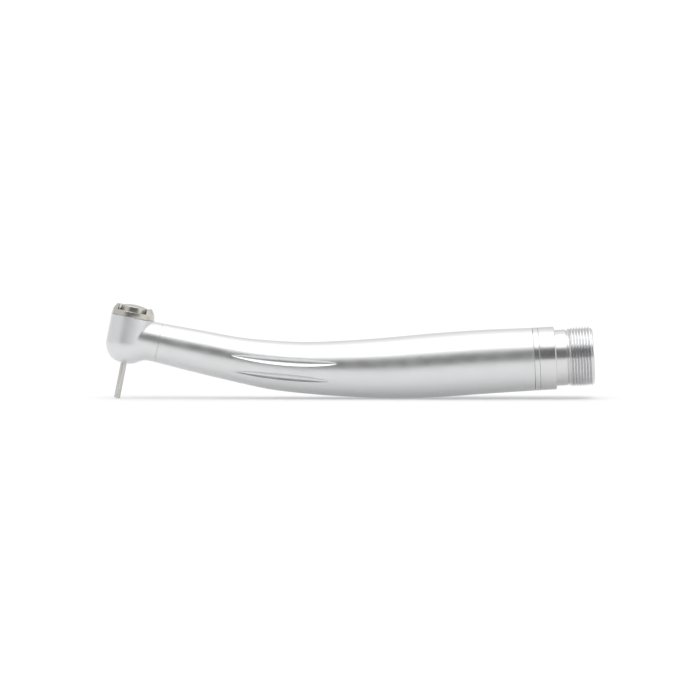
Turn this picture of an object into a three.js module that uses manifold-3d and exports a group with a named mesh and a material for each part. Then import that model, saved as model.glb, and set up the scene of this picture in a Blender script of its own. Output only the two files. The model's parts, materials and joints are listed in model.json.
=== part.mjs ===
// High speed dental handpiece: an air turbine in a small head, on a curved hollow handle
// with a threaded four-port hose connector.
//
// Millimetres, +Z up. The handle lies along X, with the head at -X and the connector at +X.
// The belly of the handle and the tip of the bur stand on z = 0, and the origin is at the
// centre of the bounding box's bottom face.
import * as THREE from 'three';
import { mergeVertices } from 'three/addons/utils/BufferGeometryUtils.js';
import Module from 'manifold-3d';

const wasm = await Module();
wasm.setup();

// ---------------------------------------------------------------- driving dimensions

const UP = new THREE.Vector3(0, 0, 1);
const SIDE = new THREE.Vector3(0, 1, 0);

// The handle's centre line (x, z) and outer radius, from the seam at the neck to the rear ring.
const handleStations = [
  { x: -49.07, z: 14.04, radius: 5.1 },
  { x: -38, z: 11.62, radius: 5.5 },
  { x: -29, z: 9.75, radius: 5.75 },
  { x: -20, z: 8.35, radius: 6.28 },
  { x: -11, z: 7.62, radius: 6.65 },
  { x: 0, z: 7.44, radius: 7.26 },
  { x: 11, z: 7.66, radius: 7.86 },
  { x: 22, z: 8.3, radius: 8.22 },
  { x: 34, z: 9.14, radius: 8.22 },
  { x: 47.1, z: 9.85, radius: 8.08 },
];
const SHELL_WALL = 0.9;

// The grip flutes on each side of the handle: x at their two tips, the angles of the tips above
// the side line, how far the middle bows up from them, half width (in degrees) and depth.
const gripFlutes = [
  { tips: [-30.6, -3.4], angles: [11.3, 13.3], bow: 2, spread: 9.4, depth: 0.44 },
  { tips: [-29.3, -5.3], angles: [-30, -26], bow: 5, spread: 8.3, depth: 0.5 },
];
const FLUTE_FULLNESS = 0.6;

// The head. Heights h are measured up the head's axis from its lowest point.
const HEAD_TILT = THREE.MathUtils.degToRad(11.3);
const HEAD_RADIUS = 5.6;
const HEAD_SEAM = 12.05;
const HEAD_NOSE = 5.5;
const NOSE_BLUNTNESS = 0.8;
const NECK_REACH = 7.9;
const NECK_HEIGHT = 6.88;
const NECK_RADIUS = 5.1;
const NECK_ROOT_RADIUS = 5.0;
const NECK_BORE = 4.0;
const CHAMBER_RADIUS = 4.3;
const CHAMBER_TOP = 7.6;
const CAP_THREAD_RADIUS = 4.5;
const BUR_HOLE_RADIUS = 1.25;

// The two ball bearings, 3.175 x 6.35 x 2.38, with seven balls each.
const bearing = {
  bore: 1.5875,
  outside: 3.175,
  width: 2.38,
  pitch: 2.38,
  ball: 0.46,
  groove: 0.53,
  innerShoulder: 2.05,
  outerShoulder: 2.71,
  balls: 7,
};
const LOWER_BEARING = 1.5;
const UPPER_BEARING = 7.95;
const BEARING_SEAT = 3.6;

// Cap, button and release mechanism. A wrench slot crosses the cap's top and leaves two
// ears, with the button standing between them.
const BUTTON_RADIUS = 3.65;
const BUTTON_REST_GAP = 0.35;
const CAP_RADIUS = 5.57;
const CAP_TOP = 14.9;
const CAP_FLOOR = 11.05;
const WRENCH_SLOT = { width: 7.44, floor: 13.5, turn: THREE.MathUtils.degToRad(-6) };
const PLUNGER_TOP = 11.4;

// Bur and chuck.
const BUR_RADIUS = 0.8;
const BUR_TOP = 10.1;
const CHUCK_BORE = 0.84;
const CHUCK_RADIUS = 1.16;
const SPINDLE_BORE = 1.22;
const SPINDLE_RADIUS = 1.55;
const SPINDLE_TOP = 10.45;

// The rear end. Distances a are measured back from the end of the handle shell.
const JOINT_GAP = 0.08;
const RING_END = 1.4;
const COLLAR_END = 5.62;
const COLLAR_RADIUS = 8.1;
const RELIEF_RADIUS = 7.2;
const THREAD_START = 9.2;
const THREAD_PITCH = 0.75;
const THREAD_TURNS = 8;
const THREAD_CREST = 7.6;
const THREAD_ROOT = 7.15;
const REAR_END = 15.4;
const CONNECTOR_BORE = 5.7;

// The air and water lines: their place (y, v) across the neck and across the connector, with
// v up, and the tube's outer radius. The exhaust needs no tube, because the hollow shell
// carries it: its radius is that of its port.
const TUBE_WALL = 0.25;
const lines = [
  { name: 'drive_air_tube', neck: [1.7, 1.0], rear: [0, 3.1], radius: 1.25 },
  { name: 'chip_air_tube', neck: [-1.9, 1.1], rear: [-3.2, -0.6], radius: 0.75 },
  { name: 'water_tube', neck: [1.5, -1.8], rear: [3.2, -0.6], radius: 0.75 },
];
const exhaust = { neck: [-1.3, -1.8], rear: [0, -3.1], radius: 1.5 };

const HEAD_SEGMENTS = 24;
const TURBINE_SEGMENTS = 20;
const HANDLE_SEGMENTS = 36;
const HANDLE_STEPS = 18;
const SEAL_SIDES = 5;

// ---------------------------------------------------------------- materials

function metal(color, roughness, metalness = 1) {
  return new THREE.MeshStandardMaterial({ color, roughness, metalness });
}

const materials = {
  satin: metal(0xc8cacc, 0.42),
  nickel: metal(0xc9c6bd, 0.14),
  steel: metal(0x9a9c9f, 0.3),
  bearingSteel: metal(0xb0b2b5, 0.15),
  aluminium: metal(0xb9bcc0, 0.35),
  brass: metal(0xc2a25a, 0.35),
  rubber: metal(0x1c1c1c, 0.8, 0),
  cage: metal(0x8a5a30, 0.6, 0),
};

// ---------------------------------------------------------------- geometry helpers

// A body of revolution about +Z. The outline lists [radius, height] anticlockwise and is
// closed on itself, unless it starts and ends on the axis.
function turned(outline, segments) {
  const points = outline.map(([r, h]) => new THREE.Vector2(r, h));
  const onAxis = outline[0][0] === 0 && outline[outline.length - 1][0] === 0;
  if (!onAxis) points.push(points[0].clone());
  return new THREE.LatheGeometry(points, segments).rotateX(Math.PI / 2);
}

// A straight round bar or, with a bore, a straight sleeve.
function bar(radius, low, high, segments, bore = 0) {
  return turned([[bore, low], [radius, low], [radius, high], [bore, high]], segments);
}

// A round rubber ring, lying across the axis at height h.
function sealRing(centreRadius, sectionRadius, h) {
  const section = [];
  for (let i = 0; i < SEAL_SIDES; i += 1) {
    const angle = (i / SEAL_SIDES) * 2 * Math.PI;
    const r = centreRadius + sectionRadius * Math.cos(angle);
    section.push([r, h + sectionRadius * Math.sin(angle)]);
  }
  return turned(section, HEAD_SEGMENTS);
}

function toSolid(geometry) {
  const bare = geometry.clone();
  bare.deleteAttribute('normal');
  bare.deleteAttribute('uv');
  const merged = mergeVertices(bare, 1e-5);
  return new wasm.Manifold(new wasm.Mesh({
    numProp: 3,
    vertProperties: Float32Array.from(merged.attributes.position.array),
    triVerts: Uint32Array.from(merged.index.array),
  }));
}

function toGeometry(solid) {
  const mesh = solid.getMesh();
  const geometry = new THREE.BufferGeometry();
  geometry.setAttribute('position', new THREE.BufferAttribute(mesh.vertProperties, 3));
  geometry.setIndex(new THREE.BufferAttribute(mesh.triVerts, 1));
  geometry.computeVertexNormals();
  return geometry;
}

function cut(geometry, tools) {
  const body = tools.reduce((rest, tool) => rest.subtract(toSolid(tool)), toSolid(geometry));
  return toGeometry(body);
}

function fuse(geometries) {
  const [first, ...others] = geometries.map(toSolid);
  return toGeometry(others.reduce((whole, other) => whole.add(other), first));
}

// A round drill from one point to another.
function drill(radius, from, to, segments = 12) {
  const start = new THREE.Vector3(...from);
  const direction = new THREE.Vector3(...to).sub(start);
  const turn = new THREE.Quaternion().setFromUnitVectors(UP, direction.clone().normalize());
  const geometry = bar(radius, 0, direction.length(), segments).applyQuaternion(turn);
  return geometry.translate(start.x, start.y, start.z);
}

function disc(radius, sides, hole = 0) {
  const shape = new THREE.Shape();
  const corner = (r, i) => {
    const angle = (i / sides) * 2 * Math.PI;
    return [r * Math.cos(angle), r * Math.sin(angle)];
  };
  shape.moveTo(...corner(radius, 0));
  for (let i = 1; i < sides; i += 1) shape.lineTo(...corner(radius, i));
  if (hole > 0) {
    const inside = new THREE.Path();
    inside.moveTo(...corner(hole, 0));
    for (let i = 1; i < sides; i += 1) inside.lineTo(...corner(hole, i));
    shape.holes.push(inside);
  }
  return shape;
}

function along(curve, shape, steps) {
  return new THREE.ExtrudeGeometry(shape, { steps, extrudePath: curve, bevelEnabled: false });
}

// A coil spring about +Z, between two heights.
function coilSpring(radius, wireRadius, low, high, turns, stepsPerTurn) {
  const points = [];
  const count = Math.round(turns * stepsPerTurn);
  for (let i = 0; i <= count; i += 1) {
    const angle = (i / stepsPerTurn) * 2 * Math.PI;
    const h = low + wireRadius + (high - low - 2 * wireRadius) * (i / count);
    points.push(new THREE.Vector3(radius * Math.cos(angle), radius * Math.sin(angle), h));
  }
  const helix = new THREE.CatmullRomCurve3(points);
  return along(helix, disc(wireRadius, 5), count);
}

function place(parent, name, geometry, material) {
  const mesh = new THREE.Mesh(geometry, material);
  mesh.name = name;
  parent.add(mesh);
  return mesh;
}

// ---------------------------------------------------------------- handle

const throughStations = (height) => new THREE.CatmullRomCurve3(
  handleStations.map((station) => new THREE.Vector3(station.x, 0, station[height])),
  false,
  'catmullrom',
);
const handleLine = throughStations('z');
const handleGirth = throughStations('radius');

// A point at station t (0 to 1), y to the side and v up across the handle's centre line.
function handlePoint(t, y, v) {
  const across = new THREE.Vector3().crossVectors(handleLine.getTangent(t), SIDE);
  return handleLine.getPoint(t).addScaledVector(across, v).addScaledVector(SIDE, y);
}

// How deep the flutes are at a place x along the handle and an angle above the side line.
function fluteDepth(x, angle) {
  let depth = 0;
  for (const { tips, angles, bow, spread, depth: deepest } of gripFlutes) {
    const along = THREE.MathUtils.clamp((x - tips[0]) / (tips[1] - tips[0]), 0, 1);
    const swell = 4 * along * (1 - along);
    const share = Math.max(swell, 1e-4) ** FLUTE_FULLNESS;
    const middle = THREE.MathUtils.lerp(angles[0], angles[1], along) + bow * swell;
    const across = (angle - middle) / (spread * share);
    const dish = Math.max(0, 1 - across * across);
    depth = Math.max(depth, deepest * share * dish);
  }
  return depth;
}

// The shell is turned as a straight tube whose height is the station t, and then bent onto
// the centre line. The flutes are pressed into its outside.
function handleShell() {
  const outside = [];
  for (let i = 0; i <= HANDLE_STEPS; i += 1) {
    const t = i / HANDLE_STEPS;
    outside.push([handleGirth.getPoint(t).z, t]);
  }
  const insideSteps = 6;
  const inside = [];
  for (let i = insideSteps; i >= 0; i -= 1) {
    const t = i / insideSteps;
    inside.push([handleGirth.getPoint(t).z - SHELL_WALL, t]);
  }
  const geometry = turned([...outside, ...inside], HANDLE_SEGMENTS);
  const position = geometry.attributes.position;
  for (let i = 0; i < position.count; i += 1) {
    const t = THREE.MathUtils.clamp(position.getZ(i), 0, 1);
    const y = position.getY(i);
    const v = -position.getX(i);
    const radius = Math.hypot(y, v);
    const angle = THREE.MathUtils.radToDeg(Math.atan2(v, Math.abs(y)));
    const girth = handleGirth.getPoint(t);
    const isOutside = radius > girth.z - SHELL_WALL / 2;
    const pressed = isOutside ? fluteDepth(girth.x, angle) : 0;
    const scale = (radius - pressed) / radius;
    const bent = handlePoint(t, y * scale, v * scale);
    position.setXYZ(i, bent.x, bent.y, bent.z);
  }
  geometry.computeVertexNormals();
  return geometry;
}

// A line from the neck to the connector, easing from its place in one to the other.
function handleTube({ neck, rear, radius }) {
  const start = 0.02;
  const end = 0.985;
  const bends = 10;
  const points = [];
  for (let i = 0; i <= bends; i += 1) {
    const share = i / bends;
    const ease = THREE.MathUtils.smoothstep(share, 0.08, 0.92);
    const y = THREE.MathUtils.lerp(neck[0], rear[0], ease);
    const v = THREE.MathUtils.lerp(neck[1], rear[1], ease);
    points.push(handlePoint(THREE.MathUtils.lerp(start, end, share), y, v));
  }
  return along(new THREE.CatmullRomCurve3(points), disc(radius, 8, radius - TUBE_WALL), 14);
}

// ---------------------------------------------------------------- head housing and cap

// The rounded nose of the head, from the axis up to where the straight side starts.
function noseOutline(steps) {
  const points = [];
  for (let i = 0; i <= steps; i += 1) {
    const angle = (i / steps) * (Math.PI / 2);
    const r = HEAD_RADIUS * Math.sin(angle) ** NOSE_BLUNTNESS;
    points.push([i === 0 ? 0 : r, HEAD_NOSE * (1 - Math.cos(angle))]);
  }
  return points;
}

function headHousing(neckDip) {
  const neckTurn = new THREE.Matrix4().makeRotationY(Math.PI / 2 + neckDip);
  neckTurn.setPosition(NECK_REACH, 0, NECK_HEIGHT);
  const nose = noseOutline(9);
  const barrel = turned([...nose, [HEAD_RADIUS, HEAD_SEAM], [0, HEAD_SEAM]], HEAD_SEGMENTS);
  const neck = turned(
    [[0, -NECK_REACH], [NECK_ROOT_RADIUS, -NECK_REACH], [NECK_RADIUS, -JOINT_GAP], [0, -JOINT_GAP]],
    HEAD_SEGMENTS,
  ).applyMatrix4(neckTurn);
  const cavity = turned([
    [0, -1],
    [BUR_HOLE_RADIUS, -1],
    [BUR_HOLE_RADIUS, 1.3],
    [BEARING_SEAT, 1.3],
    [BEARING_SEAT, 4.1],
    [CHAMBER_RADIUS, 4.1],
    [CHAMBER_RADIUS, CHAMBER_TOP],
    [CAP_THREAD_RADIUS, CHAMBER_TOP],
    [CAP_THREAD_RADIUS, HEAD_SEAM + 1],
    [0, HEAD_SEAM + 1],
  ], HEAD_SEGMENTS);
  const neckBore = bar(NECK_BORE, -2.7, 1, HEAD_SEGMENTS).applyMatrix4(neckTurn);
  const driveJet = drill(0.7, [2, 2.6, 5.9], [6.5, 2.6, 5.9]);
  const exhaustPort = drill(1.1, [2, -1.9, 5.9], [6.5, -1.9, 5.9]);
  const sprayHole = drill(0.3, [6.7, 0, 3.1], [3.4, 0, 0.3], 8);
  return cut(fuse([barrel, neck]), [cavity, neckBore, driveJet, exhaustPort, sprayHole]);
}

// The cap screws into the head, holds the upper bearing from above and guides the button. Its
// outside tapers a little towards its shoulder.
function headCap() {
  const skirt = 4.45;
  const sealGroove = { r: 4.15, low: 11.3, high: 11.75 };
  const body = turned([
    [BEARING_SEAT, 7.75],
    [skirt, 7.75],
    [skirt, sealGroove.low],
    [sealGroove.r, sealGroove.low],
    [sealGroove.r, sealGroove.high],
    [skirt, sealGroove.high],
    [skirt, HEAD_SEAM + JOINT_GAP],
    [CAP_RADIUS, HEAD_SEAM + JOINT_GAP],
    [5.42, 13.35],
    [5.3, 13.7],
    [4.7, 14.7],
    [4.45, CAP_TOP],
    [3.8, CAP_TOP],
    [3.8, 12.35],
    [4.0, 12.35],
    [4.0, CAP_FLOOR],
    [2.0, CAP_FLOOR],
    [2.0, 10.55],
    [BEARING_SEAT, 10.55],
  ], HEAD_SEGMENTS);
  const slotHeight = CAP_TOP - WRENCH_SLOT.floor + 1;
  const slot = new THREE.BoxGeometry(WRENCH_SLOT.width, 4 * CAP_RADIUS, slotHeight);
  slot.translate(0, 0, WRENCH_SLOT.floor + slotHeight / 2);
  return cut(body, [slot.rotateZ(WRENCH_SLOT.turn)]);
}

// The button is a domed plug on a hollow stem, with a central boss that meets the plunger. It
// tapers a little where it stands in the slot.
function pushButton() {
  const dome = { edge: 14.85, rise: 0.45, reach: BUTTON_RADIUS - 0.3 };
  const domeOutline = [];
  for (const share of [1, 0.85, 0.6, 0.3, 0]) {
    const r = dome.reach * share;
    domeOutline.push([r, dome.edge + dome.rise * (1 - share * share)]);
  }
  return turned([
    [0, PLUNGER_TOP + BUTTON_REST_GAP],
    [1.1, PLUNGER_TOP + BUTTON_REST_GAP],
    [1.1, 14.1],
    [3.0, 14.1],
    [3.0, 11.98],
    [3.25, 11.98],
    [3.25, 12.33],
    [BUTTON_RADIUS, 12.33],
    [BUTTON_RADIUS, WRENCH_SLOT.floor],
    [BUTTON_RADIUS - 0.17, dome.edge - 0.15],
    ...domeOutline,
  ], HEAD_SEGMENTS);
}

// ---------------------------------------------------------------- turbine

// One bearing ring. `side` is +1 for the outer ring and -1 for the inner one.
function bearingRing(low, backRadius, shoulderRadius, side) {
  const middle = low + bearing.width / 2;
  const reach = Math.acos(Math.abs(bearing.pitch - shoulderRadius) / bearing.groove);
  const outline = [[backRadius, low], [shoulderRadius, low]];
  for (const share of [-1, -0.5, 0, 0.5, 1]) {
    const angle = share * reach;
    const r = bearing.pitch + side * bearing.groove * Math.cos(angle);
    outline.push([r, middle + bearing.groove * Math.sin(angle)]);
  }
  outline.push([shoulderRadius, low + bearing.width], [backRadius, low + bearing.width]);
  return turned(side > 0 ? outline.reverse() : outline, TURBINE_SEGMENTS);
}

function ballPlace(index, h) {
  const angle = (index / bearing.balls) * 2 * Math.PI;
  return [bearing.pitch * Math.cos(angle), bearing.pitch * Math.sin(angle), h];
}

function bearingCage(middle) {
  const ring = bar(2.58, middle - 0.75, middle + 0.75, 3 * bearing.balls, 2.18);
  const pockets = [];
  for (let i = 0; i < bearing.balls; i += 1) {
    const [x, y] = ballPlace(i, 0);
    pockets.push(drill(0.53, [0.8 * x, 0.8 * y, middle], [1.2 * x, 1.2 * y, middle], 6));
  }
  return cut(ring, pockets);
}

// Places a whole bearing: rings, cage, balls, dust shield and the rubber ring round it.
function addBearing(head, level, low) {
  const middle = low + bearing.width / 2;
  const { bearingSteel, cage, rubber, steel } = materials;
  const outer = bearingRing(low, bearing.outside, bearing.outerShoulder, 1);
  const inner = bearingRing(low, bearing.bore, bearing.innerShoulder, -1);
  place(head, `${level}_outer_ring`, outer, bearingSteel);
  place(head, `${level}_inner_ring`, inner, bearingSteel);
  place(head, `${level}_cage`, bearingCage(middle), cage);
  for (let i = 0; i < bearing.balls; i += 1) {
    const ball = place(
      head,
      `${level}_ball_${i + 1}`,
      new THREE.IcosahedronGeometry(bearing.ball, 1),
      bearingSteel,
    );
    ball.position.set(...ballPlace(i, middle));
  }
  const shieldLow = middle - 1.1;
  place(head, `${level}_shield`, bar(2.64, shieldLow, shieldLow + 0.15, 20, 2.14), steel);
  place(head, `${level}_bearing_oring`, sealRing(3.39, 0.17, middle), rubber);
}

// The turbine wheel: a hub with eight blades, hollow on the side that the drive air strikes.
function impeller() {
  const blades = 8;
  const low = 4.55;
  const high = 7.25;
  const bladePoints = [
    [2.1, 0.0],
    [3.0, 0.06],
    [3.97, -0.02],
    [4.0, 0.14],
    [3.0, 0.3],
    [2.1, 0.42],
  ];
  const outline = [];
  for (let i = 0; i < blades; i += 1) {
    for (const [r, turn] of bladePoints) {
      const angle = (i / blades) * 2 * Math.PI + turn;
      outline.push(new THREE.Vector2(r * Math.cos(angle), r * Math.sin(angle)));
    }
  }
  const shape = new THREE.Shape(outline);
  const wheel = new THREE.ExtrudeGeometry(shape, { depth: high - low, bevelEnabled: false });
  wheel.translate(0, 0, low);
  return cut(wheel, [bar(SPINDLE_RADIUS + 0.04, low - 1, high + 1, TURBINE_SEGMENTS)]);
}

// The chuck is a sleeve whose lower end is slit crosswise into four jaws.
function chuck() {
  const low = 0.9;
  const slit = { width: 0.2, top: 4.2 };
  const sleeve = bar(CHUCK_RADIUS, low, 7.5, 16, CHUCK_BORE);
  const height = slit.top - low + 1;
  const crosscuts = [new THREE.BoxGeometry(4, slit.width, height)];
  crosscuts.push(new THREE.BoxGeometry(slit.width, 4, height));
  crosscuts.forEach((box) => box.translate(0, 0, slit.top - height / 2));
  return cut(sleeve, crosscuts);
}

function chuckPlunger() {
  return turned([
    [0, 10.8],
    [0.9, 10.8],
    [0.9, 9.6],
    [CHUCK_RADIUS, 9.6],
    [CHUCK_RADIUS, 11.0],
    [1.5, 11.0],
    [1.5, PLUNGER_TOP],
    [0, PLUNGER_TOP],
  ], 16);
}

// ---------------------------------------------------------------- neck and rear parts

function neckInsert() {
  const sealGroove = { r: 3.72, low: 2.2, high: 2.75 };
  const core = turned([
    [0, -2.4],
    [3.85, -2.4],
    [3.85, JOINT_GAP],
    [4.05, JOINT_GAP],
    [4.05, sealGroove.low],
    [sealGroove.r, sealGroove.low],
    [sealGroove.r, sealGroove.high],
    [4.05, sealGroove.high],
    [4.05, 4.5],
    [0, 4.5],
  ], HEAD_SEGMENTS);
  const holes = lines.map(({ neck: [y, v], radius }) => {
    return drill(radius + 0.15, [-v, y, -3], [-v, y, 5]);
  });
  const [y, v] = exhaust.neck;
  return cut(core, [...holes, drill(1.2, [-v, y, -3], [-v, y, 5])]);
}

function connectorBody() {
  const sealGroove = { r: 6.4, low: -2.9, high: -2.2 };
  const thread = [];
  for (let i = 0; i < THREAD_TURNS; i += 1) {
    const a = THREAD_START + i * THREAD_PITCH;
    thread.push([THREAD_ROOT, a], [THREAD_CREST, a + THREAD_PITCH / 2]);
  }
  return turned([
    [CONNECTOR_BORE, -5],
    [6.85, -5],
    [6.85, sealGroove.low],
    [sealGroove.r, sealGroove.low],
    [sealGroove.r, sealGroove.high],
    [6.85, sealGroove.high],
    [6.85, RING_END + JOINT_GAP],
    [COLLAR_RADIUS - 0.15, RING_END + JOINT_GAP],
    [COLLAR_RADIUS, RING_END + 2 * JOINT_GAP],
    [COLLAR_RADIUS, COLLAR_END - 0.25],
    [COLLAR_RADIUS - 0.25, COLLAR_END],
    [RELIEF_RADIUS, COLLAR_END],
    [RELIEF_RADIUS, 8.9],
    [THREAD_ROOT, 8.97],
    ...thread,
    [THREAD_ROOT, THREAD_START + THREAD_TURNS * THREAD_PITCH],
    [THREAD_ROOT - 0.15, REAR_END],
    [CONNECTOR_BORE, REAR_END],
  ], HEAD_SEGMENTS);
}

// The block carries the four ports: wide at the end face, with sockets for the tubes inside.
function portBlock() {
  const front = -3.5;
  const core = bar(CONNECTOR_BORE - 0.1, front, REAR_END, HEAD_SEGMENTS);
  const holes = lines.flatMap(({ rear: [y, v], radius }) => [
    drill(radius - TUBE_WALL, [-v, y, front - 1], [-v, y, REAR_END + 1], 10),
    drill(radius + 0.15, [-v, y, front - 1], [-v, y, 0], 10),
  ]);
  const [y, v] = exhaust.rear;
  return cut(core, [...holes, drill(exhaust.radius, [-v, y, front - 1], [-v, y, REAR_END + 1])]);
}

// ---------------------------------------------------------------- assembly

// A group whose +Z runs along a direction in the X-Z plane.
function tiltedGroup(origin, direction) {
  const group = new THREE.Group();
  group.position.copy(origin);
  group.quaternion.setFromUnitVectors(UP, direction);
  return group;
}

const handpiece = new THREE.Group();
const { satin, nickel, steel, bearingSteel, aluminium, brass, rubber } = materials;

// Handle
place(handpiece, 'handle_shell', handleShell(), satin);
for (const line of lines) place(handpiece, line.name, handleTube(line), steel);

// Neck: +Z runs back along the handle from the seam.
const neckDirection = handleLine.getTangent(0);
const neckGroup = tiltedGroup(handleLine.getPoint(0), neckDirection);
place(neckGroup, 'neck_insert', neckInsert(), brass);
place(neckGroup, 'neck_oring', sealRing(3.93, 0.17, 2.475), rubber);
handpiece.add(neckGroup);

// Head: +Z runs up the head's axis from its lowest point.
const headAxis = new THREE.Vector3(Math.sin(HEAD_TILT), 0, Math.cos(HEAD_TILT));
const headAcross = new THREE.Vector3(Math.cos(HEAD_TILT), 0, -Math.sin(HEAD_TILT));
const headOrigin = handleLine.getPoint(0)
  .addScaledVector(headAcross, -NECK_REACH)
  .addScaledVector(headAxis, -NECK_HEIGHT);
const neckDip = Math.atan2(-neckDirection.z, neckDirection.x) - HEAD_TILT;
const head = tiltedGroup(headOrigin, headAxis);
handpiece.add(head);

place(head, 'head_housing', headHousing(neckDip), satin);
place(head, 'head_cap', headCap(), nickel);
place(head, 'cap_oring', sealRing(4.32, 0.14, 11.525), rubber);
place(head, 'push_button', pushButton(), nickel);
place(head, 'button_retainer', bar(3.9, 12.0, 12.3, HEAD_SEGMENTS, 3.3), steel);
place(head, 'button_spring', coilSpring(2.35, 0.16, CAP_FLOOR + 0.03, 14.05, 3.5, 10), steel);

addBearing(head, 'upper', UPPER_BEARING);
addBearing(head, 'lower', LOWER_BEARING);
const washerLow = UPPER_BEARING + bearing.width + 0.03;
place(head, 'preload_washer', bar(3.15, washerLow, washerLow + 0.14, 20, 2.65), steel);

const spindle = bar(SPINDLE_RADIUS, 1.4, SPINDLE_TOP, TURBINE_SEGMENTS, SPINDLE_BORE);
place(head, 'spindle', spindle, steel);
place(head, 'impeller', impeller(), aluminium);
place(head, 'chuck', chuck(), steel);
place(head, 'chuck_spring', coilSpring(1.01, 0.1, 7.53, 9.57, 4, 8), steel);
place(head, 'chuck_plunger', chuckPlunger(), steel);

// The bur reaches down to the floor that the handle's belly lies on.
const bellySamples = 200;
let floor = Infinity;
for (let i = 0; i <= bellySamples; i += 1) {
  const t = i / bellySamples;
  floor = Math.min(floor, handlePoint(t, 0, -handleGirth.getPoint(t).z).z);
}
const tipRise = BUR_RADIUS * Math.sin(HEAD_TILT);
const burLow = -(headOrigin.z - floor - tipRise) / Math.cos(HEAD_TILT);
place(head, 'bur', bar(BUR_RADIUS, burLow, BUR_TOP, 16), bearingSteel);

// Rear end: +Z runs back from the end of the shell.
const rear = tiltedGroup(handleLine.getPoint(1), handleLine.getTangent(1));
handpiece.add(rear);
place(rear, 'rear_ring', bar(COLLAR_RADIUS, JOINT_GAP, RING_END, HEAD_SEGMENTS, 6.98), satin);
place(rear, 'shell_oring', sealRing(6.68, 0.22, -2.55), rubber);
place(rear, 'connector_body', connectorBody(), steel);
place(rear, 'port_block', portBlock(), brass);

// Stand the handpiece on z = 0, centred in X and Y.
const box = new THREE.Box3().setFromObject(handpiece, true);
const centre = box.getCenter(new THREE.Vector3());
handpiece.position.set(-centre.x, -centre.y, -box.min.z);

export default handpiece;
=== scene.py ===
"""A high speed dental handpiece on a white table, seen from its side.

The CAD frame gives the places and sizes. The outside pieces are rebuilt here with finer
surfaces, and the pieces inside the head and handle are the CAD nodes themselves. Shapes are
worked out in millimetres and brought to metres when a piece is finished.
"""

import json
import math

import bpy
import numpy as np
from mathutils import Matrix, Vector


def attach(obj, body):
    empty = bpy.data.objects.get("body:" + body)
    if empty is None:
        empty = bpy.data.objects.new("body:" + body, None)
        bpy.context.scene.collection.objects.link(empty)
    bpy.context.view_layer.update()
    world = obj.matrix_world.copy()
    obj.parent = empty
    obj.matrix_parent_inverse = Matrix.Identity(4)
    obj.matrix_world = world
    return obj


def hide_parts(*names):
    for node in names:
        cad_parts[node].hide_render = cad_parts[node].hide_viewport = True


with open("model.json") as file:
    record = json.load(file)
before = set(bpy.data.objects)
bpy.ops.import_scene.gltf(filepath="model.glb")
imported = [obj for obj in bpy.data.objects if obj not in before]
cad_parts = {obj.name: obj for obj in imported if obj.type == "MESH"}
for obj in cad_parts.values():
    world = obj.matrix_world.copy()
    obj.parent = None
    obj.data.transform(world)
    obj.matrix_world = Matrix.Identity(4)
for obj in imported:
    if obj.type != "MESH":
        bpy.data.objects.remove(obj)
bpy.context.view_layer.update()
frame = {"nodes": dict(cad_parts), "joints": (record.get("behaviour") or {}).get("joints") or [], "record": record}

MM = 0.001

# ------------------------------------------------------------ driving dimensions (mm)

# The handle's centre line (x, z) and outer radius, as in the CAD source.
STATIONS = [
    (-49.07, 14.04, 5.1),
    (-38, 11.62, 5.5),
    (-29, 9.75, 5.75),
    (-20, 8.35, 6.28),
    (-11, 7.62, 6.65),
    (0, 7.44, 7.26),
    (11, 7.66, 7.86),
    (22, 8.3, 8.22),
    (34, 9.14, 8.22),
    (47.1, 9.85, 8.08),
]
SHELL_WALL = 0.9

# The grip flutes on each side: x at their two tips, the tips' angles above the side line,
# how far the middle bows up from them, half width (both in degrees) and depth.
FLUTES = [
    {"tips": (-30.6, -3.4), "angles": (11.3, 13.3), "bow": 2, "spread": 9.4, "depth": 0.44},
    {"tips": (-29.3, -5.3), "angles": (-30, -26), "bow": 5, "spread": 8.3, "depth": 0.5},
]
FLUTE_FULLNESS = 0.6

# The head, with heights h measured up its axis from its lowest point.
HEAD_RADIUS = 5.6
HEAD_SEAM = 12.05
HEAD_NOSE = 5.5
NOSE_BLUNTNESS = 0.8
NECK_REACH = 7.9
NECK_HEIGHT = 6.88
NECK_RADIUS = 5.1
NECK_ROOT_RADIUS = 5.0
NECK_BORE = 4.0
NECK_BORE_DEPTH = 2.7
JOINT_GAP = 0.08

# The hollow inside the head, from the bur's hole up to the cap's thread.
BUR_HOLE_RADIUS = 1.25
BEARING_SEAT = 3.6
LOWER_SEAT_FLOOR = 1.3
CHAMBER_RADIUS = 4.3
CHAMBER_FLOOR = 4.1
CHAMBER_TOP = 7.6
CAP_THREAD_RADIUS = 4.5

# The cap with its wrench slot, the button and the bur, at the same heights h.
CAP_RADIUS = 5.57
CAP_TOP = 14.9
CAP_FLOOR = 11.05
BUTTON_RADIUS = 3.65
BUTTON_FOOT = 11.75
BUTTON_EDGE = 14.85
SLOT_WIDTH = 7.44
SLOT_FLOOR = 13.5
SLOT_TURN = math.radians(-6)
BUR_RADIUS = 0.8
BUR_TOP = 10.1

# The head's drive air jet, exhaust port and spray hole: radius, start and end (x, y, h).
HEAD_PORTS = [
    (0.7, (2, 2.6, 5.9), (6.5, 2.6, 5.9)),
    (1.1, (2, -1.9, 5.9), (6.5, -1.9, 5.9)),
    (0.3, (7.4, 0, 3.7), (3.4, 0, 0.3)),
]

# The rear end, with distances a measured back from the end of the handle shell.
SEAM_GAP = 0.02
RING_BORE = 6.98
RING_END = 1.4
PLUG_START = -5
PLUG_RADIUS = 6.85
COLLAR_END = 5.62
COLLAR_RADIUS = 8.1
RELIEF_RADIUS = 7.2
THREAD_START = 9.2
THREAD_PITCH = 0.75
THREAD_END = 15.2
THREAD_CREST = 7.6
THREAD_ROOT = 7.15
REAR_END = 15.4
CONNECTOR_BORE = 5.7
BLOCK_START = -3.5

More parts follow.
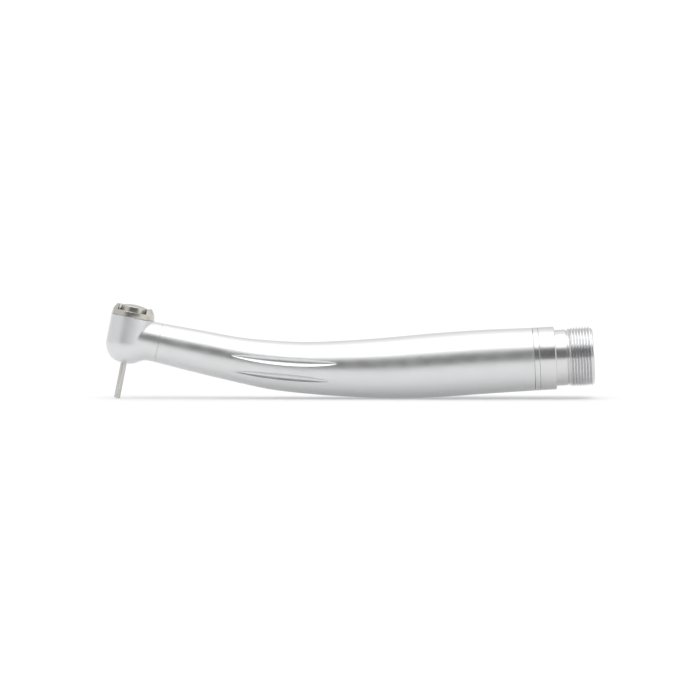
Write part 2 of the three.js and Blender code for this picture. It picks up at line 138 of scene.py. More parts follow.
# The connector's ports for drive air, chip air and water: their place (y, v) with v up, and
# the radius of the port and of the socket for its tube. The exhaust port is as wide throughout.
TUBE_PORTS = [
    {"at": (0, 3.1), "port": 1.0, "socket": 1.4},
    {"at": (-3.2, -0.6), "port": 0.5, "socket": 0.9},
    {"at": (3.2, -0.6), "port": 0.5, "socket": 0.9},
]
EXHAUST = {"at": (0, -3.1), "port": 1.5}

HEAD_SEGMENTS = 96
CAP_SEGMENTS = 128
REAR_SEGMENTS = 144

# ------------------------------------------------------------ places


def place(origin, axis):
    """The matrix of a local frame: +Z along the axis, +Y to the side, metres."""
    z = Vector(axis).normalized()
    y = Vector((0, 1, 0))
    x = y.cross(z)
    turn = Matrix((x, y, z)).transposed()
    return Matrix.Translation(Vector(origin)) @ turn.to_4x4() @ Matrix.Scale(MM, 4)


def joint(name):
    return next(j for j in frame["joints"] if j["name"] == name)


spin = joint("rotor_spin")
HEAD = place(spin["pos_m"], spin["axis"])

mount = frame["record"]["mounts"][0]
rear_axis = Vector(mount["axis"])
shell_end = Vector(mount["pos_m"]) - rear_axis * REAR_END * MM
REAR = place(shell_end, rear_axis)
HANDLE = Matrix.Translation(
    shell_end - Vector((STATIONS[-1][0], 0, STATIONS[-1][1])) * MM
) @ Matrix.Scale(MM, 4)


def through_stations(t):
    """(x, z, radius) and its derivative at each t from 0 to 1, as two (n, 3) arrays."""
    knots = np.array(STATIONS, float)
    first = 2 * knots[:1] - knots[1:2]
    last = 2 * knots[-1:] - knots[-2:-1]
    padded = np.vstack([first, knots, last])
    spans = len(knots) - 1
    where = np.clip(np.asarray(t, float), 0, 1) * spans
    span = np.minimum(where.astype(int), spans - 1)
    w = (where - span)[:, None]
    p0, p1, p2, p3 = (padded[span + i] for i in range(4))
    m1 = (p2 - p0) / 2
    m2 = (p3 - p1) / 2
    c2 = -3 * p1 + 3 * p2 - 2 * m1 - m2
    c3 = 2 * p1 - 2 * p2 + m1 + m2
    point = p1 + w * (m1 + w * (c2 + w * c3))
    slope = m1 + w * (2 * c2 + 3 * w * c3)
    return point, slope


def handle_direction(t):
    _, slope = through_stations([t])
    return Vector((slope[0, 0], 0, slope[0, 1])).normalized()


neck_direction = handle_direction(0)
head_axis = Vector(spin["axis"])
head_tilt = math.atan2(head_axis.x, head_axis.z)
neck_dip = math.atan2(-neck_direction.z, neck_direction.x) - head_tilt

# ------------------------------------------------------------ mesh helpers


def new_mesh(name, points, faces):
    mesh = bpy.data.meshes.new(name)
    mesh.from_pydata([tuple(p) for p in points], [], faces)
    mesh.update()
    obj = bpy.data.objects.new(name, mesh)
    bpy.context.scene.collection.objects.link(obj)
    return obj


def ring_mesh(name, grid, hollow=False):
    """A skin over grid (rows, columns, 3), round in the columns. A hollow skin also closes
    from the last row to the first; any other has a pole at each end."""
    rows, columns, _ = grid.shape
    points = list(grid.reshape(-1, 3))
    faces = []
    spans = rows if hollow else rows - 1
    for i in range(spans):
        low, high = i * columns, ((i + 1) % rows) * columns
        for j in range(columns):
            k = (j + 1) % columns
            faces.append((low + j, low + k, high + k, high + j))
    if not hollow:
        for row, flip in ((0, True), (rows - 1, False)):
            pole = len(points)
            points.append(grid[row].mean(axis=0))
            for j in range(columns):
                a = row * columns + j
                b = row * columns + (j + 1) % columns
                faces.append((b, a, pole) if flip else (a, b, pole))
    return new_mesh(name, points, faces)


def rounded(outline, closed, steps=4):
    """The outline's points (r, h) or (r, h, fillet), with each fillet as a short arc."""
    result = []
    count = len(outline)
    for i, point in enumerate(outline):
        here = np.array(point[:2], float)
        fillet = point[2] if len(point) > 2 else 0
        is_end = not closed and i in (0, count - 1)
        if fillet == 0 or is_end:
            result.append(here)
            continue
        before = np.array(outline[i - 1][:2], float) - here
        after = np.array(outline[(i + 1) % count][:2], float) - here
        before /= np.linalg.norm(before)
        after /= np.linalg.norm(after)
        half = math.acos(np.clip(before @ after, -1, 1)) / 2
        reach = fillet / math.tan(half)
        start = here + before * reach
        end = here + after * reach
        bisector = (before + after) / np.linalg.norm(before + after)
        centre = here + bisector * fillet / math.sin(half)
        first = start - centre
        last = end - centre
        swing = math.acos(np.clip(first @ last / fillet**2, -1, 1))
        for step in range(steps + 1):
            s = step / steps
            mixed = math.sin((1 - s) * swing) * first + math.sin(s * swing) * last
            result.append(centre + mixed / math.sin(swing))
    return np.array(result)


def around(outline, segments):
    """The grid of an outline (r, h) turned about +Z."""
    angle = np.arange(segments) / segments * 2 * math.pi
    r = outline[:, 0][:, None]
    h = np.repeat(outline[:, 1][:, None], segments, axis=1)
    return np.stack([r * np.cos(angle), r * np.sin(angle), h], axis=2)


def turned(name, outline, segments):
    """A body of revolution. The outline is anticlockwise and starts and ends on the axis,
    or else goes round a hollow body."""
    on_axis = outline[0][0] == 0 and outline[-1][0] == 0
    if on_axis:
        points = rounded(outline, closed=False)[1:-1]
        obj = ring_mesh(name, around(points, segments))
        for end, pole in ((0, -2), (-1, -1)):
            obj.data.vertices[pole].co.z = outline[end][1]
        return obj
    return ring_mesh(name, around(rounded(outline, closed=True), segments), hollow=True)


def drill(radius, start, end, segments=24):
    """A round cutter from one point to another."""
    start, end = Vector(start), Vector(end)
    length = (end - start).length
    outline = [(0, 0), (radius, 0), (radius, length), (0, length)]
    obj = turned("drill", outline, segments)
    turn = (end - start).to_track_quat("Z", "Y").to_matrix().to_4x4()
    obj.data.transform(Matrix.Translation(start) @ turn)
    return obj


def bake(obj):
    """Applies the object's modifiers."""
    graph = bpy.context.evaluated_depsgraph_get()
    mesh = bpy.data.meshes.new_from_object(obj.evaluated_get(graph))
    obj.modifiers.clear()
    obj.data = mesh
    return obj


def carve(obj, tools, operation="DIFFERENCE"):
    for tool in tools:
        modifier = obj.modifiers.new("carve", "BOOLEAN")
        modifier.operation = operation
        modifier.solver = "EXACT"
        modifier.object = tool
    bake(obj)
    for tool in tools:
        bpy.data.objects.remove(tool)
    return obj


def finish_piece(obj, matrix, body, slot, replaced, sharp_angle=30):
    """Brings a piece from millimetres to its place and ties it to the frame."""
    obj.data.transform(matrix)
    obj.data.shade_smooth()
    obj.data.set_sharp_from_angle(angle=math.radians(sharp_angle))
    obj.data.materials.clear()
    obj.data.materials.append(materials[slot])
    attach(obj, body)
    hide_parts(replaced)
    return obj


# ------------------------------------------------------------ materials


class Shader:
    """A node material that is built node by node."""

    def __init__(self, name):
        self.material = bpy.data.materials.new(name)
        self.material.use_nodes = True
        self.tree = self.material.node_tree
        self.bsdf = self.tree.nodes["Principled BSDF"]

    def node(self, kind, **settings):
        node = self.tree.nodes.new(kind)
        for name, value in settings.items():
            setattr(node, name, value)
        return node

    def link(self, output, socket):
        self.tree.links.new(output, socket)

    def place(self):
        """The piece's own coordinates, in metres."""
        return self.node("ShaderNodeTexCoord").outputs["Object"]

    def noise(self, grain, detail=2.0, along=None):
        """Noise with that grain in millimetres, or one that only varies along an axis."""
        node = self.node("ShaderNodeTexNoise")
        node.inputs["Scale"].default_value = 1 / (grain * MM)
        node.inputs["Detail"].default_value = detail
        if along is None:
            self.link(self.place(), node.inputs["Vector"])
        else:
            node.noise_dimensions = "1D"
            dot = self.node("ShaderNodeVectorMath", operation="DOT_PRODUCT")
            dot.inputs[1].default_value = along
            self.link(self.place(), dot.inputs[0])
            self.link(dot.outputs["Value"], node.inputs["W"])
        return node.outputs["Fac"]

    def spread(self, source, low, high):
        """The source's usual range, brought to low to high."""
        node = self.node("ShaderNodeMapRange")
        node.inputs["From Min"].default_value = 0.3
        node.inputs["From Max"].default_value = 0.7
        node.inputs["To Min"].default_value = low
        node.inputs["To Max"].default_value = high
        self.link(source, node.inputs["Value"])
        return node.outputs["Result"]

    def bump(self, source, height):
        """Relief of that height in millimetres."""
        node = self.node("ShaderNodeBump")
        node.inputs["Strength"].default_value = 1.0
        node.inputs["Distance"].default_value = height * MM
        self.link(source, node.inputs["Height"])
        self.link(node.outputs["Normal"], self.bsdf.inputs["Normal"])


def metal(name, color, roughness, grain, relief, along=None, vary=0.04):
    """A metal whose roughness wanders a little and whose surface has a fine relief, as turning
    marks across an axis where along is given."""
    patch_size = 3.0
    shader = Shader(name)
    shader.bsdf.inputs["Base Color"].default_value = (*color, 1)
    shader.bsdf.inputs["Metallic"].default_value = 1.0
    patches = shader.noise(patch_size)
    wander = shader.spread(patches, roughness - vary, roughness + vary)
    shader.link(wander, shader.bsdf.inputs["Roughness"])
    shader.bump(shader.noise(grain, along=along), relief)
    return shader.material


def plain(name, color, roughness, grain, relief, vary=0.06):
    """A rubber or resin, with a fine uneven surface."""
    patch_size = 1.0
    shader = Shader(name)
    shader.bsdf.inputs["Base Color"].default_value = (*color, 1)
    wander = shader.spread(shader.noise(patch_size), roughness - vary, roughness + vary)
    shader.link(wander, shader.bsdf.inputs["Roughness"])
    shader.bump(shader.noise(grain), relief)
    return shader.material


# Each material's colour and roughness, then its relief's grain and height in millimetres.
head_up = tuple(spin["axis"])
to_rear = tuple(rear_axis)
materials = {
    "satin_steel": metal("satin_steel", (0.715, 0.72, 0.725), 0.36, 0.06, 0.003),
    "polished_nickel": metal("polished_nickel", (0.56, 0.54, 0.503), 0.24, 0.5, 0.0006),
    "steel": metal("steel", (0.6, 0.6, 0.61), 0.3, 0.1, 0.001),
    "turned_steel": metal(
        "turned_steel", (0.7, 0.7, 0.706), 0.22, 0.05, 0.0012, along=to_rear
    ),
    "bearing_steel": metal("bearing_steel", (0.68, 0.68, 0.7), 0.1, 0.3, 0.0003),
    "bur_steel": metal("bur_steel", (0.6, 0.59, 0.575), 0.3, 0.08, 0.001, along=head_up),
    "aluminium": metal("aluminium", (0.78, 0.79, 0.8), 0.35, 0.12, 0.001),
    "brass": metal("brass", (0.8, 0.64, 0.34), 0.3, 0.12, 0.001),
    "rubber": plain("rubber", (0.025, 0.025, 0.027), 0.7, 0.08, 0.003),
    "cage_resin": plain("cage_resin", (0.36, 0.2, 0.09), 0.55, 0.1, 0.003),
}

# ------------------------------------------------------------ handle shell


def flute_depth(x, degrees):
    """How far the grip flutes press in the surface at each x and angle above the side line."""
    depth = np.zeros_like(x)
    for flute in FLUTES:
        along = np.clip((x - flute["tips"][0]) / np.ptp(flute["tips"]), 0, 1)
        swell = 4 * along * (1 - along)
        share = np.maximum(swell, 1e-4) ** FLUTE_FULLNESS
        tips = np.interp(along, (0, 1), flute["angles"])
        middle = tips + flute["bow"] * swell
        across = (degrees - middle) / (flute["spread"] * share)
        dish = np.maximum(0, 1 - across**2)
        depth = np.maximum(depth, flute["depth"] * share * dish)
    return depth


def handle_rows():
    """Values of t along the handle, closer together where the flutes are."""
    fluted_step = 0.14
    plain_step = 0.8
    margin = 1
    first_tip, last_tip = FLUTES[0]["tips"]
    t = np.linspace(0, 1, 4001)
    points, _ = through_stations(t)
    x = points[:, 0]
    fluted = (x > first_tip - margin) & (x < last_tip + margin)
    density = np.where(fluted, 1 / fluted_step, 1 / plain_step)
    steps = np.diff(x) * (density[1:] + density[:-1]) / 2
    count = np.concatenate([[0], np.cumsum(steps)])
    return np.interp(np.linspace(0, count[-1], int(count[-1]) + 1), count, t)


def handle_columns():
    """Angles once round the handle in degrees, closer together on the two fluted sides."""
    low = -52
    high = 28
    fluted_step = 0.4
    plain_step = 4
    side = np.arange(low, high, fluted_step)
    over = np.arange(high, 180 - high, plain_step)
    other = 180 - side[::-1]
    under = np.arange(180 - low + plain_step, 360 + low, plain_step)
    return np.concatenate([side, over, other, under])


def bend(t, radius, degrees):
    """Points at a radius and an angle round the centre line, one row for each t."""
    centre, slope = through_stations(t)
    tangent = slope[:, :2] / np.linalg.norm(slope[:, :2], axis=1)[:, None]
    across = np.stack([-tangent[:, 1], tangent[:, 0]], axis=1)
    angle = np.radians(degrees)[None, :]
    y = radius * np.cos(angle)
    v = radius * np.sin(angle)
    x = centre[:, 0][:, None] + across[:, 0][:, None] * v
    z = centre[:, 1][:, None] + across[:, 1][:, None] * v
    return np.stack([x, y, z], axis=2)


def handle_shell():
    """The fluted outside and the plain inside, with a small chamfer at both ends."""
    edge = 0.03
    inside_rows = 60
    inset = edge / (STATIONS[-1][0] - STATIONS[0][0])
    middle = handle_rows()[1:-1]
    rows = np.concatenate([[inset, 2 * inset], middle, [1 - 2 * inset, 1 - inset]])
    degrees = handle_columns()
    points, _ = through_stations(rows)
    sideways = np.where(degrees > 90, 180 - degrees, degrees)
    x = np.repeat(points[:, 0][:, None], len(degrees), axis=1)
    pressed = flute_depth(x, np.repeat(sideways[None, :], len(rows), axis=0))
    outer = points[:, 2][:, None] - pressed
    outside = np.vstack([outer[:1] - edge, outer, outer[-1:] - edge])
    t_outside = np.concatenate([[0], rows, [1]])
    t_inside = np.linspace(1, 0, inside_rows)
    inner_points, _ = through_stations(t_inside)
    inside = np.repeat((inner_points[:, 2] - SHELL_WALL)[:, None], len(degrees), axis=1)
    grid = np.vstack([bend(t_outside, outside, degrees), bend(t_inside, inside, degrees)])
    obj = ring_mesh("handle_shell_visual", grid, hollow=True)
    obj.data.flip_normals()
    return finish_piece(obj, HANDLE, "handle", "satin_steel", "handle_shell", 50)


handle_shell()

# ------------------------------------------------------------ head


def nose_outline(steps):
    """The head's rounded nose, from the axis up to where its straight side starts."""
    points = []
    for i in range(steps + 1):
        angle = i / steps * math.pi / 2
        r = HEAD_RADIUS * math.sin(angle) ** NOSE_BLUNTNESS
        points.append((r if i else 0, HEAD_NOSE * (1 - math.cos(angle))))
    return points


NECK = (
    Matrix.Translation((NECK_REACH, 0, NECK_HEIGHT))
    @ Matrix.Rotation(math.pi / 2 + neck_dip, 4, "Y")
)


def smoothstep(value, low, high):
    s = np.clip((value - low) / (high - low), 0, 1)
    return s * s * (3 - 2 * s)


def barrel_distance(p):
    """About how far points (x, y, h) lie outside the head's upright body."""
    x, y, h = p.T
    share = np.maximum(np.hypot(x, y) / HEAD_RADIUS, 0.02)
    below = np.maximum(1 - h / HEAD_NOSE, 0)
    power = 2 / NOSE_BLUNTNESS
    level = share**power + below**2 - 1
    steep = np.hypot(power / HEAD_RADIUS * share ** (power - 1), 2 * below / HEAD_NOSE)
    return level / np.maximum(steep, 0.05)


def neck_distance(p):
    """How far points lie outside the neck."""
    origin = np.array(NECK.translation)
    along = np.array(NECK.to_3x3() @ Vector((0, 0, 1)))
    a = (p - origin) @ along
    radial = np.linalg.norm(p - origin - a[:, None] * along, axis=1)
    girth = NECK_RADIUS + (NECK_RADIUS - NECK_ROOT_RADIUS) * a / NECK_REACH
    return np.maximum(radial - girth, -(a + NECK_REACH))


def head_distance(p):
    """How far points lie outside the head: barrel and neck, with a crease between them that
    is crisp above the neck's middle and soft below it."""
    crisp = 0.15
    soft = 1.2
    barrel = barrel_distance(p)
    neck = neck_distance(p)
    low_side = 1 - smoothstep(p[:, 2] - NECK_HEIGHT, -5, -0.5)
    blend = crisp + soft * low_side * smoothstep(p[:, 0], 0.6, 4)
    s = np.clip(0.5 + 0.5 * (neck - barrel) / blend, 0, 1)
    return neck + (barrel - neck) * s - blend * s * (1 - s)


def settle(points, distance, rounds=10):
    """Moves the points near the surface where distance is 0 onto it."""
    nudge = 0.01
    reach = 0.7
    longest_move = 0.2
    steps = np.eye(3) * nudge
    near = np.abs(distance(points)) < reach
    moved = points[near]
    for _ in range(rounds):
        off = distance(moved)
        gradient = np.stack(
            [(distance(moved + s) - distance(moved - s)) / (2 * nudge) for s in steps],
            axis=1,
        )
        size = np.maximum((gradient**2).sum(axis=1), 0.2)
        move = np.clip(off / size, -longest_move, longest_move)
        moved = moved - move[:, None] * gradient
    settled = points.copy()
    settled[near] = moved
    return settled


def head_skin():
    """Barrel and neck as one skin, with its points moved onto the head's surface."""
    above = HEAD_SEAM + 0.6
    barrel = [*nose_outline(24), (HEAD_RADIUS, above), (0, above)]
    obj = turned("head_housing_visual", barrel, HEAD_SEGMENTS)
    past_seam = 0.5
    neck = turned(
        "neck",
        [
            (0, -NECK_REACH),
            (NECK_ROOT_RADIUS, -NECK_REACH),
            (NECK_RADIUS, past_seam),
            (0, past_seam),
        ],
        HEAD_SEGMENTS,
    )
    neck.data.transform(NECK)
    carve(obj, [neck], "UNION")
    remesh = obj.modifiers.new("remesh", "REMESH")
    remesh.mode = "VOXEL"
    remesh.voxel_size = 0.13
    bake(obj)
    points = np.zeros(len(obj.data.vertices) * 3, np.float32)
    obj.data.vertices.foreach_get("co", points)
    settled = settle(points.reshape(-1, 3).astype(float), head_distance)
    obj.data.vertices.foreach_set("co", settled.astype(np.float32).ravel())
    obj.data.update()
    return obj


def head_cavity():
    """The cutter for the hollow inside and for everything above the seam with the cap."""
    wide = 12
    rim = 0.05
    beyond = 0.02
    hole_edge = 0.1
    return turned(
        "cavity",
        [
            (0, -1),
            (BUR_HOLE_RADIUS + hole_edge, -1),
            (BUR_HOLE_RADIUS + hole_edge, 0.05),
            (BUR_HOLE_RADIUS, 0.15),
            (BUR_HOLE_RADIUS, LOWER_SEAT_FLOOR),
            (BEARING_SEAT, LOWER_SEAT_FLOOR),
            (BEARING_SEAT, CHAMBER_FLOOR),
            (CHAMBER_RADIUS, CHAMBER_FLOOR),
            (CHAMBER_RADIUS, CHAMBER_TOP),
            (CAP_THREAD_RADIUS, CHAMBER_TOP),
            (CAP_THREAD_RADIUS, HEAD_SEAM),
            (HEAD_RADIUS - rim, HEAD_SEAM),
            (HEAD_RADIUS + beyond, HEAD_SEAM - rim - beyond),
            (HEAD_RADIUS + beyond, HEAD_SEAM),
            (wide, HEAD_SEAM),
            (wide, HEAD_SEAM + 3),
            (0, HEAD_SEAM + 3),
        ],
        HEAD_SEGMENTS,
    )


def neck_mouth():
    """The cutter for the neck's bore and for everything beyond the neck's end."""
    wide = 12
    chamfer = 0.03
    rise = 0.3
    obj = turned(
        "neck_mouth",
        [
            (0, -NECK_BORE_DEPTH),
            (NECK_BORE, -NECK_BORE_DEPTH),
            (NECK_BORE, -chamfer),
            (NECK_RADIUS - chamfer, -chamfer),
            (NECK_RADIUS + rise, -2 * chamfer - rise),
            (wide, -2 * chamfer - rise),
            (wide, 3),
            (0, 3),
        ],
        HEAD_SEGMENTS,
    )
    obj.data.transform(NECK)
    return obj


def head_housing():
    """The head with its neck stub, hollowed out and open to the cap, the handle and the bur."""
    ports = [drill(radius, start, end) for radius, start, end in HEAD_PORTS]
    obj = carve(head_skin(), [head_cavity(), neck_mouth(), *ports])
    return finish_piece(obj, HEAD, "handle", "satin_steel", "head_housing", 35)


head_housing()


def wrench_slot():
    """The cutter for the slot across the cap, which leaves an ear on each side."""
    height = CAP_TOP - SLOT_FLOOR + 1
    half = Vector((SLOT_WIDTH, 4 * CAP_RADIUS, height)) / 2
    signs = (-1, 1)
    corners = [(x * half.x, y * half.y, z * half.z) for x in signs for y in signs for z in signs]
    faces = [(0, 1, 3, 2), (4, 6, 7, 5), (0, 4, 5, 1), (2, 3, 7, 6), (0, 2, 6, 4), (1, 5, 7, 3)]
    obj = new_mesh("slot", corners, faces)
    lift = Matrix.Translation((0, 0, SLOT_FLOOR + half.z))
    obj.data.transform(Matrix.Rotation(SLOT_TURN, 4, "Z") @ lift)
    return obj


def bevel_edges(obj, width):
    bevel = obj.modifiers.new("bevel", "BEVEL")
    bevel.width = width
    bevel.segments = 2
    bevel.limit_method = "ANGLE"
    bevel.angle_limit = math.radians(40)
    return bake(obj)


def head_cap():
    """A screw-in cap: a skirt with a seal groove, and a shoulder that tapers to the top."""
    skirt = 4.45
    groove = {"r": 4.15, "low": 11.3, "high": 11.75}
    shoulder = HEAD_SEAM + JOINT_GAP
    guide = 3.8
    ring_seat = {"r": 4.0, "top": 12.35}
    stem_hole = 2.0
    web = 10.55
    obj = turned(
        "head_cap_visual",
        [
            (BEARING_SEAT, 7.75),
            (skirt, 7.75, 0.1),
            (skirt, groove["low"]),
            (groove["r"], groove["low"]),
            (groove["r"], groove["high"]),
            (skirt, groove["high"]),
            (skirt, shoulder),
            (CAP_RADIUS, shoulder, 0.07),
            (5.42, 13.35, 0.15),
            (5.3, 13.7, 0.3),
            (4.7, 14.7, 0.2),
            (4.45, CAP_TOP, 0.05),
            (guide, CAP_TOP, 0.05),
            (guide, ring_seat["top"]),
            (ring_seat["r"], ring_seat["top"]),
            (ring_seat["r"], CAP_FLOOR),
            (stem_hole, CAP_FLOOR),
            (stem_hole, web),
            (BEARING_SEAT, web),
        ],
        CAP_SEGMENTS,
    )
    carve(obj, [wrench_slot()])
    bevel_edges(obj, 0.09)
    return finish_piece(obj, HEAD, "handle", "polished_nickel", "head_cap", 35)


def push_button():
    """A domed plug with a hollow stem and a central boss. It tapers above the slot's floor."""
    taper = 0.33
    reach = BUTTON_RADIUS - 0.45
    rise = 0.45
    dome = []
    for share in (0.85, 0.6, 0.3, 0.1, 0):
        dome.append((reach * share, BUTTON_EDGE + rise * (1 - share**2)))
    boss = 1.1
    underside = 14.1
    stem = {"bore": 3.0, "r": 3.25, "low": 11.98, "high": 12.33}
    obj = turned(
        "push_button_visual",
        [
            (0, BUTTON_FOOT),
            (boss, BUTTON_FOOT),
            (boss, underside),
            (stem["bore"], underside),
            (stem["bore"], stem["low"]),
            (stem["r"], stem["low"]),
            (stem["r"], stem["high"]),
            (BUTTON_RADIUS, stem["high"], 0.05),
            (BUTTON_RADIUS, SLOT_FLOOR),
            (BUTTON_RADIUS - taper, BUTTON_EDGE - 0.1, 0.15),
            (reach, BUTTON_EDGE, 0.1),
            *dome,
        ],
        CAP_SEGMENTS,
    )
    return finish_piece(obj, HEAD, "button", "polished_nickel", "push_button", 35)


def bur():
    """A plain round shank with small chamfers, as long as the CAD's bur."""
    to_head = HEAD.inverted()
    tip = min((to_head @ vertex.co).z for vertex in frame["nodes"]["bur"].data.vertices)
    outline = [
        (0, tip),
        (BUR_RADIUS, tip, 0.12),
        (BUR_RADIUS, BUR_TOP, 0.1),
        (0, BUR_TOP),
    ]
    obj = turned("bur_visual", outline, 64)
    return finish_piece(obj, HEAD, "bur", "bur_steel", "bur", 35)


head_cap()
push_button()
bur()

# ------------------------------------------------------------ rear end


def rear_ring():
    """A plain ring with rounded edges."""
    obj = turned(
        "rear_ring_visual",
        [
            (RING_BORE, JOINT_GAP),
            (COLLAR_RADIUS, JOINT_GAP, 0.06),
            (COLLAR_RADIUS, RING_END, 0.12),
            (RING_BORE, RING_END),
        ],
        REAR_SEGMENTS,
    )
    return finish_piece(obj, REAR, "handle", "turned_steel", "rear_ring", 50)


def thread_radius(a, angle):
    """The thread's radius at distance a and an angle. Its helix runs in and out at the ends."""
    turns = (a - THREAD_START) / THREAD_PITCH - angle / (2 * math.pi)
    tooth = 1 - np.abs(2 * (turns % 1) - 1)
    steepness = 1.5
    root_flat = 0.1
    crest = np.clip(tooth * steepness - root_flat, 0, 1)
    run_in = smoothstep(a, THREAD_START - 0.3, THREAD_START + 0.3)
    run_out = 1 - smoothstep(a, THREAD_END - 0.35, THREAD_END)
    return THREAD_ROOT + (THREAD_CREST - THREAD_ROOT) * crest * run_in * run_out


def connector_body():
    """The plug with its seal groove, the collar, the relief and the thread, as one skin."""
    groove = {"r": 6.4, "low": -2.9, "high": -2.2}
    collar_start = RING_END + SEAM_GAP
    lead = THREAD_ROOT - 0.2
    before = rounded(
        [
            (CONNECTOR_BORE, PLUG_START),
            (PLUG_RADIUS, PLUG_START, 0.2),
            (PLUG_RADIUS, groove["low"]),
            (groove["r"], groove["low"]),
            (groove["r"], groove["high"]),
            (PLUG_RADIUS, groove["high"]),
            (PLUG_RADIUS, collar_start),
            (COLLAR_RADIUS, collar_start, 0.12),
            (COLLAR_RADIUS, COLLAR_END, 0.3),
            (RELIEF_RADIUS, COLLAR_END, 0.12),
            (RELIEF_RADIUS, 8.4, 0.05),
            (lead, 8.72, 0.05),
            (THREAD_ROOT, 8.9),
        ],
        closed=False,
    )
    after = rounded(
        [
            (THREAD_ROOT, THREAD_END),
            (lead, REAR_END, 0.05),
            (CONNECTOR_BORE, REAR_END, 0.1),
            (CONNECTOR_BORE, 10),
        ],
        closed=False,
    )
    along = np.arange(8.95, THREAD_END, THREAD_PITCH / 24)
    thread = np.stack([np.full(len(along), THREAD_ROOT), along], axis=1)
    grid = around(np.vstack([before, thread, after]), REAR_SEGMENTS)
    angle = np.arange(REAR_SEGMENTS) / REAR_SEGMENTS * 2 * math.pi
    for row, a in enumerate(along, len(before)):
        r = thread_radius(a, angle)
        grid[row, :, 0] = r * np.cos(angle)
        grid[row, :, 1] = r * np.sin(angle)
    obj = ring_mesh("connector_body_visual", grid, hollow=True)
    return finish_piece(obj, REAR, "handle", "turned_steel", "connector_body", 40)


def rear_drill(at, radius, start, end):
    """A cutter along the connector's axis, at (y, v) with v up."""
    y, v = at
    return drill(radius, (-v, y, start), (-v, y, end), 32)


def port_block():
    """The block that fills the connector, with four ports and a socket for each tube."""
    radius = CONNECTOR_BORE - 0.1
    edge = 0.2
    segments = 96
    obj = turned(
        "port_block_visual",
        [
            (0, BLOCK_START),
            (radius, BLOCK_START, edge),
            (radius, REAR_END, edge),
            (0, REAR_END),
        ],
        segments,
    )
    tools = []
    for port in TUBE_PORTS:
        tools.append(rear_drill(port["at"], port["port"], -1, REAR_END + 1))
        tools.append(rear_drill(port["at"], port["socket"], BLOCK_START - 1, 0))
    tools.append(rear_drill(EXHAUST["at"], EXHAUST["port"], BLOCK_START - 1, REAR_END + 1))
    carve(obj, tools)
    return finish_piece(obj, REAR, "handle", "brass", "port_block", 40)


rear_ring()
connector_body()
port_block()

# ------------------------------------------------------------ inside pieces


def paint_inside_pieces():
    """Gives each CAD node that is still shown the material of its slot in the record."""
    for part in frame["record"]["subparts"]:
        node = frame["nodes"][part["node"]]
        if node.hide_render:
            continue
        node.data.materials.clear()
        node.data.materials.append(materials[part["material_slot"]])
        node.data.shade_smooth()
        node.data.set_sharp_from_angle(angle=math.radians(32))


paint_inside_pieces()

# ------------------------------------------------------------ stage and light


def calculate(tree, operation, *values):
    """A math node over the values, each a number or another node's output."""
    node = tree.nodes.new("ShaderNodeMath")
    node.operation = operation
    for socket, value in zip(node.inputs, values):
        if isinstance(value, (int, float)):
            socket.default_value = value
        else:
            tree.links.new(value, socket)
    return node.outputs[0]


def ramp(tree, value, low, high, start=0.0, end=1.0):
    """A soft step from start, below low, to end, above high."""
    node = tree.nodes.new("ShaderNodeMapRange")
    node.interpolation_type = "SMOOTHSTEP"
    settings = {"From Min": low, "From Max": high, "To Min": start, "To Max": end}
    for name, number in settings.items():
        node.inputs[name].default_value = number
    tree.links.new(value, node.inputs["Value"])
    return node.outputs["Result"]


def white_table():
    """A plain matt table that glows a little, so that it stays white under the soft light."""
    half = 6.0
    corners = [(-half, -half, 0), (half, -half, 0), (half, half, 0), (-half, half, 0)]
    table = new_mesh("table", corners, [(0, 1, 2, 3)])
    shader = Shader("white_table")
    shader.bsdf.inputs["Base Color"].default_value = (0.6, 0.6, 0.6, 1)
    shader.bsdf.inputs["Emission Color"].default_value = (1, 1, 1, 1)
    shader.bsdf.inputs["Emission Strength"].default_value = 0.31
    shader.bsdf.inputs["Roughness"].default_value = 0.9
    shader.bsdf.inputs["Specular IOR Level"].default_value = 0.0
    table.data.materials.append(shader.material)


def sine(degrees):
    return math.sin(math.radians(degrees))


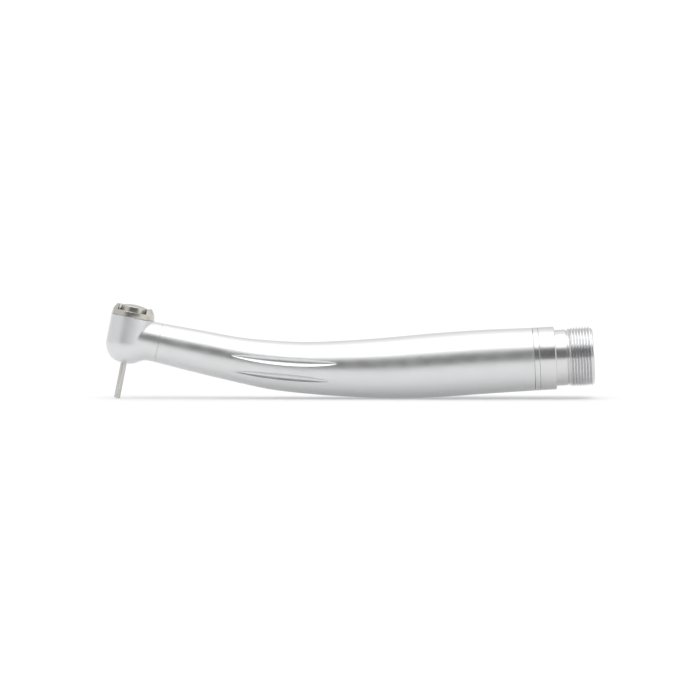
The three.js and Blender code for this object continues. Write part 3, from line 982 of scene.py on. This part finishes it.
def studio_light():
    """A broad light overhead that leans to the front, white walls, a dark panel in front, and
    grey ones behind and on the head's side."""
    overhead = 2.17
    wall = 1.12
    front_panel = 0.17
    back_panel = 0.8
    head_panel = 0.83
    lean = math.radians(12)
    world = bpy.data.worlds.new("studio")
    bpy.context.scene.world = world
    world.use_nodes = True
    tree = world.node_tree
    background = tree.nodes["Background"]
    direction = tree.nodes.new("ShaderNodeTexCoord").outputs["Generated"]
    parts = tree.nodes.new("ShaderNodeSeparateXYZ")
    tree.links.new(direction, parts.inputs[0])
    across = parts.outputs["X"]
    ahead = parts.outputs["Y"]
    height = parts.outputs["Z"]
    squared = calculate(tree, "MULTIPLY", height, height)
    flat = calculate(tree, "SQRT", calculate(tree, "SUBTRACT", 1.0, squared))

    def panel(axis, side, brightness, bottom, top, width):
        """How much light a panel on that side of an axis takes off. Its bottom and top edge and
        its half width fade between two angles each, in degrees."""
        facing = calculate(tree, "DIVIDE", calculate(tree, "MULTIPLY", axis, side), flat)
        sideways = ramp(tree, facing, sine(90 - width[1]), sine(90 - width[0]))
        above = ramp(tree, height, sine(bottom[0]), sine(bottom[1]))
        below = ramp(tree, height, sine(top[0]), sine(top[1]), 1, 0)
        covered = calculate(tree, "MULTIPLY", sideways, calculate(tree, "MULTIPLY", above, below))
        return calculate(tree, "MULTIPLY", covered, wall - brightness)

    leaning = calculate(
        tree,
        "ADD",
        calculate(tree, "MULTIPLY", height, math.cos(lean)),
        calculate(tree, "MULTIPLY", ahead, -math.sin(lean)),
    )
    ceiling = ramp(tree, leaning, sine(48), sine(70), 0, overhead - wall)
    brightness = calculate(tree, "ADD", ceiling, wall)
    front = panel(ahead, -1, front_panel, (-4, 0), (36, 60), (25, 55))
    back = panel(ahead, 1, back_panel, (4, 12), (26, 58), (35, 65))
    left = panel(across, -1, head_panel, (-4, 0), (36, 60), (30, 55))
    for taken in (front, back, left):
        brightness = calculate(tree, "SUBTRACT", brightness, taken)
    tree.links.new(brightness, background.inputs["Strength"])
    background.inputs["Color"].default_value = (1, 1, 1, 1)


def camera():
    """A long lens, level with the side of the handpiece and a little above it."""
    data = bpy.data.cameras.new("camera")
    data.sensor_width = 36
    data.lens = 250.7
    obj = bpy.data.objects.new("camera", data)
    bpy.context.scene.collection.objects.link(obj)
    distance = 1.2527
    elevation = math.radians(3)
    aim = Vector((-0.0001, 0, 0.0124))
    back = Vector((0, -math.cos(elevation), math.sin(elevation)))
    obj.location = aim + back * distance
    obj.rotation_euler = (-back).to_track_quat("-Z", "Y").to_euler()
    data.clip_start = 0.01
    data.clip_end = 50
    bpy.context.scene.camera = obj


white_table()
studio_light()
camera()
bpy.context.scene.view_settings.view_transform = "Standard"
